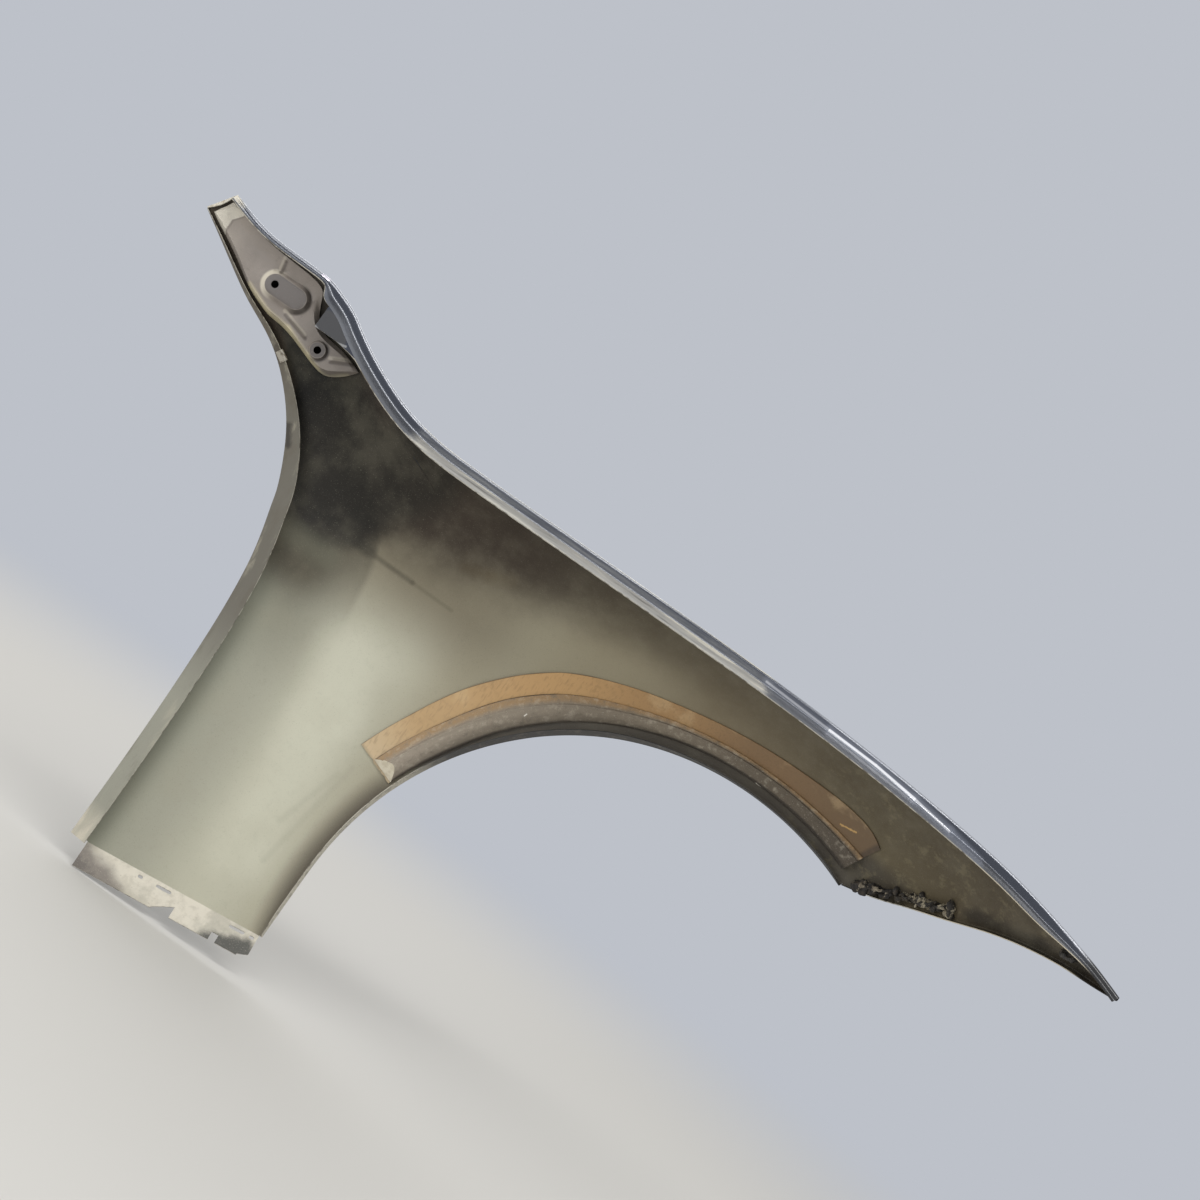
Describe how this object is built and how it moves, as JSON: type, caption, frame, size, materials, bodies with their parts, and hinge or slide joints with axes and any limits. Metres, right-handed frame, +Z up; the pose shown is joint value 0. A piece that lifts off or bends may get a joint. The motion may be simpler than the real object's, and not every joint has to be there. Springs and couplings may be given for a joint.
{
  "type": "car fender",
  "caption": "Left front fender of a passenger car: one pressed sheet round the wheel arch, with a bolted pillar bracket, a hood ledge, a door hem, a slotted foot flange and soft arch strips.",
  "frame": {"origin": "middle of the flat face of the oval pad on the pillar bracket, where the rear upper bolt clamps it to the pillar", "axes": "the axes of the car: +X forward, +Y outward to the left side, +Z up"},
  "size_m": [1.2365, 0.3003, 0.6981],
  "materials": {
    "paint": "dark blue-grey gloss outside, dull primer with overspray, dust and dirt inside",
    "primer": "dull warm grey primer with chipped edges",
    "film": "dull tan film",
    "seal": "dusty grey-brown soft profile",
    "sealer_black": "torn dull sealer",
    "sealer_cream": "torn dull sealer",
    "rubber": "dull rubber",
    "clip_steel": "dull sprung steel"
  },
  "bodies": {
    "root": {"fender_skin": "paint", "pillar_bracket": "primer", "arch_film": "film", "arch_seal": "seal", "sealer_rear": "sealer_black", "sealer_front": "sealer_cream", "nose_block": "rubber", "edge_clip": "clip_steel"}
  },
  "joints": []
}
